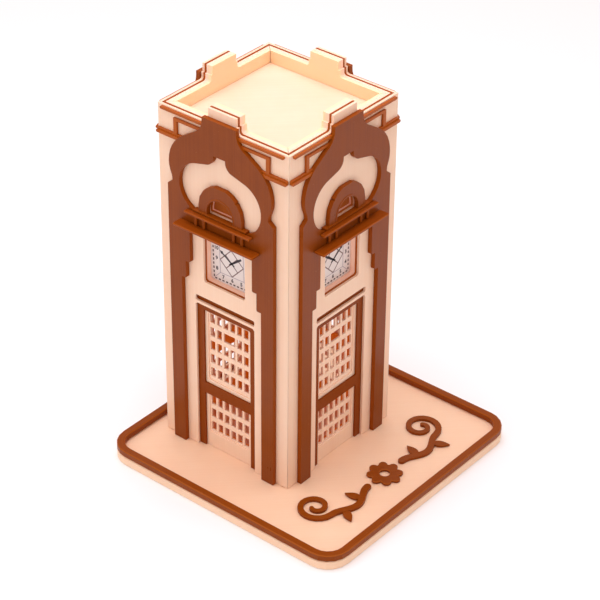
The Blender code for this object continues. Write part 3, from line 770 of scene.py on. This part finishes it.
@dataclass
class Dial:
    """Print of a square clock dial, modelled once and copied to each side."""

    centre_height: float = 80.2 * MM
    card_depth: float = 23.5 * MM
    ink_thickness: float = 0.03 * MM
    ink_gap: float = 0.004 * MM
    border_half: float = 7.9 * MM
    dashes: int = 10
    dash_length: float = 0.88 * MM
    dash_width: float = 0.5 * MM
    number_ring: float = 6.5 * MM
    number_step: float = 3.9 * MM
    number_size: float = 1.9 * MM
    number_bold: float = 0.06 * MM
    number_steps: int = 3
    field_half: float = 5.1 * MM
    hair_width: float = 0.18 * MM
    lozenge_half: float = 5.0 * MM
    lozenge_line: float = 0.36 * MM
    long_hand: float = 6.2 * MM
    short_hand: float = 5.2 * MM
    hand_tail: float = 1.3 * MM
    thin_half: float = 0.3 * MM
    thin_widest: float = 0.62 * MM
    thin_levels: tuple[float, float, float] = (0.72, 0.82, 0.93)
    broad_halves: tuple[float, float, float] = (0.3 * MM, 0.4 * MM, 0.36 * MM)
    broad_level: float = 0.6
    hands_up: dict[Side, tuple[float, float]] = field(default_factory=lambda: {
        Side.LEFT: (-55.0, 54.0), Side.FRONT: (54.0, -53.0),
        Side.RIGHT: (-55.0, 54.0), Side.BACK: (54.0, -53.0)})
    lean: dict[Side, float] = field(default_factory=lambda: {
        Side.LEFT: 2.0, Side.FRONT: 0.0, Side.RIGHT: -1.0, Side.BACK: 0.5})

    def stroke(self, name: str, outline: Iterable[Point]) -> bpy.types.Object:
        """Thin flat print of a closed outline, in the front card's plane.

        Args:
            name: Name of the new object.
            outline: Points across and up from the dial's middle, counter-clockwise.

        Returns:
            The new mesh object, lying on the card.
        """
        points = list(outline)
        bpy.ops.object.select_all(action="DESELECT")
        bpy.ops.mesh.primitive_circle_add(vertices=len(points), radius=MM,
                                          fill_type="NGON")
        piece = bpy.context.object
        piece.name = name
        front = self.card_depth + self.ink_gap
        for vertex, (across, up) in zip(piece.data.vertices, points):
            vertex.co = (across, SETBACK - front, self.centre_height + up)
        bpy.ops.object.mode_set(mode="EDIT")
        bpy.ops.mesh.select_all(action="SELECT")
        bpy.ops.mesh.extrude_region_move(
            TRANSFORM_OT_translate={"value": (0.0, -self.ink_thickness, 0.0)})
        bpy.ops.mesh.select_all(action="SELECT")
        bpy.ops.mesh.normals_make_consistent(inside=False)
        bpy.ops.object.mode_set(mode="OBJECT")
        return piece

    def bar(self, name: str, start: Point, end: Point, width: float) -> bpy.types.Object:
        """Straight printed line between two points.

        Args:
            name: Name of the new object.
            start: First point, across and up from the dial's middle.
            end: Last point.
            width: Width of the line.

        Returns:
            The new mesh object, lying on the card.
        """
        first, last = Vector(start), Vector(end)
        along = (last - first).normalized()
        aside = Vector((-along.y, along.x)) * (width / 2)
        corners = [first - aside, last - aside, last + aside, first + aside]
        return self.stroke(name, [tuple(corner) for corner in corners])

    def fuse(self, name: str, pieces: list[bpy.types.Object]) -> bpy.types.Object:
        """Join several prints into one piece with its own name.

        Args:
            name: Name of the joined piece.
            pieces: Prints that are joined, of which the first is kept.

        Returns:
            The joined piece.
        """
        bpy.ops.object.select_all(action="DESELECT")
        for piece in pieces:
            piece.select_set(True)
        bpy.context.view_layer.objects.active = pieces[0]
        bpy.ops.object.join()
        fused = bpy.context.object
        fused.name = name
        fused.data.name = name
        return fused

    def make_border(self) -> bpy.types.Object:
        """Dashed minute track round the dial.

        Returns:
            All dashes as one print.
        """
        step = 2 * self.border_half / self.dashes
        half = self.dash_length / 2
        edge = self.border_half
        marks = []
        for index in range(self.dashes):
            middle = -edge + (index + 0.5) * step
            for number, level in enumerate((-edge, edge)):
                marks.append(self.bar(f"dash_{index}_{number}", (middle - half, level),
                                      (middle + half, level), self.dash_width))
                marks.append(self.bar(f"dash_{index}_{number + 2}", (level, middle - half),
                                      (level, middle + half), self.dash_width))
        return self.fuse("dial_border", marks)

    def make_field(self) -> bpy.types.Object:
        """Hairline square with lines out to the corners of the track.

        Returns:
            The square and its rays as one print.
        """
        near, far = self.field_half, self.border_half - self.dash_width
        lines = []
        for number, (x, y) in enumerate(((-1, -1), (1, -1), (1, 1), (-1, 1))):
            start = (x * near, y * near)
            lines.append(self.bar(f"hair_{number}", start, (-y * near, x * near),
                                  self.hair_width))
            lines.append(self.bar(f"ray_{number}", start, (x * far, y * far),
                                  self.hair_width))
        return self.fuse("dial_field", lines)

    def make_lozenge(self) -> bpy.types.Object:
        """Square on its corner, quartered by lines along its sides.

        Returns:
            Its sides and its cross as one print.
        """
        half = self.lozenge_half
        tips = [(half, 0.0), (0.0, half), (-half, 0.0), (0.0, -half)]
        lines = [self.bar(f"side_{index}", tip, tips[(index + 1) % 4], self.lozenge_line)
                 for index, tip in enumerate(tips)]
        quarter = half / 2
        lines.append(self.bar("cross_0", (-quarter, -quarter), (quarter, quarter),
                              self.lozenge_line))
        lines.append(self.bar("cross_1", (-quarter, quarter), (quarter, -quarter),
                              self.lozenge_line))
        return self.fuse("dial_lozenge", lines)

    def number_places(self) -> list[Point]:
        """Places of the numbers one to twelve on a square ring.

        Returns:
            Twelve points across and up from the dial's middle, clockwise.
        """
        ring, step = self.number_ring, self.number_step
        return [(step, ring), (ring, step), (ring, 0.0), (ring, -step), (step, -ring),
                (0.0, -ring), (-step, -ring), (-ring, -step), (-ring, 0.0), (-ring, step),
                (-step, ring), (0.0, ring)]

    def make_numbers(self) -> bpy.types.Object:
        """Plain numbers one to twelve.

        Returns:
            All numbers as one print.
        """
        front = self.card_depth + self.ink_gap + self.ink_thickness / 2
        pieces = []
        for number, (across, up) in enumerate(self.number_places(), start=1):
            bpy.ops.object.select_all(action="DESELECT")
            bpy.ops.object.text_add()
            text = bpy.context.object
            text.data.body = str(number)
            text.data.size = self.number_size
            text.data.align_x = "CENTER"
            text.data.align_y = "CENTER"
            text.data.extrude = self.ink_thickness / 2
            text.data.offset = self.number_bold
            text.data.resolution_u = self.number_steps
            text.rotation_euler = (math.radians(90.0), 0.0, 0.0)
            text.location = (across, SETBACK - front, self.centre_height + up)
            bpy.ops.object.convert(target="MESH")
            bpy.ops.object.transform_apply(location=True, rotation=True, scale=True)
            pieces.append(bpy.context.object)
        return self.fuse("dial_numbers", pieces)

    def make_hands(self, name: str, long_angle: float, short_angle: float
                   ) -> bpy.types.Object:
        """Thin hand with a lozenge near its tip, and a broad plain hand.

        Args:
            name: Name of the new piece.
            long_angle: Turn of the thin hand from upright, clockwise, in degrees.
            short_angle: The same for the broad hand.

        Returns:
            Both hands as one print.
        """
        reach, short = self.long_hand, self.short_hand
        thin, wide = self.thin_half, self.thin_widest
        foot, waist, neck = self.thin_levels
        blade = [(thin, -self.hand_tail), (thin, foot * reach), (wide, waist * reach),
                 (thin / 2, neck * reach), (thin / 3, reach)]
        root, middle, tip = self.broad_halves
        broad = [(root, -self.hand_tail), (middle, self.broad_level * short), (tip, short)]
        pieces = []
        for label, half, angle in (("thin", blade, long_angle),
                                   ("broad", broad, short_angle)):
            turn = math.radians(angle)
            outline = half + [(-x, y) for x, y in reversed(half)]
            points = [(x * math.cos(turn) + y * math.sin(turn),
                       -x * math.sin(turn) + y * math.cos(turn)) for x, y in outline]
            pieces.append(self.stroke(f"{name}_{label}", points))
        return self.fuse(name, pieces)

    def place(self, master: bpy.types.Object, side: Side, ink: Ink) -> None:
        """Copy a print to one side with its own mesh, and dress it.

        Args:
            master: Print on the front card.
            side: Side that gets the copy.
            ink: Ink of the copy.
        """
        label = f"{side.label}_{master.name}"
        mesh = master.data.copy()
        middle = Matrix.Translation((0.0, SETBACK, self.centre_height))
        lean = Matrix.Rotation(math.radians(-self.lean[side]), 4, "Y")
        mesh.transform(side.turn @ middle @ lean @ middle.inverted())
        piece = bpy.data.objects.new(label, mesh)
        bpy.context.scene.collection.objects.link(piece)
        wear(piece, ink.material(label))
        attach(piece, BODY)

    def build(self) -> None:
        """Print the dial of every side."""
        shared = ((self.make_border(), DARK_INK), (self.make_field(), GREY_INK),
                  (self.make_lozenge(), ROSE_INK), (self.make_numbers(), DARK_INK))
        for side in Side:
            for master, ink in shared:
                self.place(master, side, ink)
            hands = self.make_hands("dial_hands", *self.hands_up[side])
            self.place(hands, side, DARK_INK)
            bpy.data.objects.remove(hands, do_unlink=True)
        for master, _ in shared:
            bpy.data.objects.remove(master, do_unlink=True)
        log.info("dials: track, field, lozenge, numbers and hands printed on four cards")


@dataclass
class Roof:
    """Panel inside the parapet."""

    node: str = "roof_panel"

    def build(self) -> None:
        """Dress the roof panel."""
        wear(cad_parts[self.node], IVORY.material("roof", Grain.DIAGONAL))
        log.info("roof: panel dressed")


# ------------------------------------------------------------------------------ studio
@dataclass(frozen=True)
class Lamp:
    """Square soft lamp that looks at the tower's middle."""

    name: str
    place: tuple[float, float, float]
    size: float
    power: float
    colour: Colour
    target: tuple[float, float, float] = (0.0, 0.0, 0.06)

    def build(self) -> None:
        """Hang the lamp."""
        light = bpy.data.lights.new(self.name, "AREA")
        light.shape = "SQUARE"
        light.size = self.size
        light.energy = self.power
        light.color = self.colour
        lamp = bpy.data.objects.new(self.name, light)
        lamp.location = self.place
        aim = Vector(self.target) - Vector(self.place)
        lamp.rotation_euler = aim.to_track_quat("-Z", "Y").to_euler()
        bpy.context.scene.collection.objects.link(lamp)


@dataclass
class Studio:
    """Pale floor, soft lights and the camera."""

    floor_half: float = 3.0
    floor_colour: Colour = (0.88, 0.885, 0.90)
    floor_roughness: float = 0.9
    floor_glow: float = 0.07
    camera_place: tuple[float, float, float] = (-0.487614, -0.395345, 0.476942)
    camera_turn: tuple[float, float, float] = (56.44353, -0.42562, -50.31715)
    lens: float = 135.4646
    sensor: float = 36.0
    nearest: float = 0.01
    world_colour: Colour = (1.0, 0.95, 0.90)
    world_strength: float = 0.80
    lamps: tuple[Lamp, ...] = (
        Lamp("top_lamp", (0.0, 0.02, 0.50), 0.35, 1.25, (1.0, 0.87, 0.96)),
        Lamp("high_lamp", (-0.25, 0.35, 0.95), 0.6, 1.0, (1.0, 0.97, 0.97)),
        Lamp("side_lamp", (-0.95, 0.25, 0.30), 0.6, 1.0, (0.72, 0.88, 1.0)))

    def build(self) -> None:
        """Set up the floor, the light and the camera."""
        self.make_floor()
        self.make_world()
        for lamp in self.lamps:
            lamp.build()
        self.make_camera()
        bpy.context.scene.view_settings.view_transform = "Standard"
        log.info("studio: floor, lamps and camera set")

    def make_floor(self) -> None:
        """Wide pale floor under the plinth."""
        bpy.ops.object.select_all(action="DESELECT")
        bpy.ops.mesh.primitive_plane_add(size=2 * self.floor_half)
        floor = bpy.context.object
        floor.name = "studio_floor"
        loom = Loom("floor_white")
        loom.settle(Base_Color=opaque(self.floor_colour), Roughness=self.floor_roughness,
                    Specular_IOR_Level=0.0, Emission_Color=opaque((1.0, 1.0, 1.0)),
                    Emission_Strength=self.floor_glow)
        wear(floor, loom.material)

    def make_world(self) -> None:
        """Even white surroundings."""
        world = bpy.data.worlds.new("studio_white")
        world.use_nodes = True
        sky = world.node_tree.nodes["Background"]
        sky.inputs["Color"].default_value = opaque(self.world_colour)
        sky.inputs["Strength"].default_value = self.world_strength
        bpy.context.scene.world = world

    def make_camera(self) -> None:
        """Camera at the photograph's place and angle."""
        lens = bpy.data.cameras.new("studio_camera")
        lens.lens = self.lens
        lens.sensor_width = self.sensor
        lens.clip_start = self.nearest
        camera = bpy.data.objects.new("studio_camera", lens)
        camera.location = self.camera_place
        camera.rotation_euler = [math.radians(angle) for angle in self.camera_turn]
        bpy.context.scene.collection.objects.link(camera)
        bpy.context.scene.camera = camera


def corners(bounds: Iterable[Vector]) -> list[list[float]]:
    """Bounds as plain lists of numbers."""
    return [list(corner) for corner in bounds]


def main() -> None:
    """Dress the whole model."""
    logging.basicConfig(level=logging.INFO, format="%(message)s")
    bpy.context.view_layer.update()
    Plinth().build()
    for side in Side:
        Face(side).build()
    Roof().build()
    Dial().build()
    Studio().build()


if __name__ == "__main__":
    main()
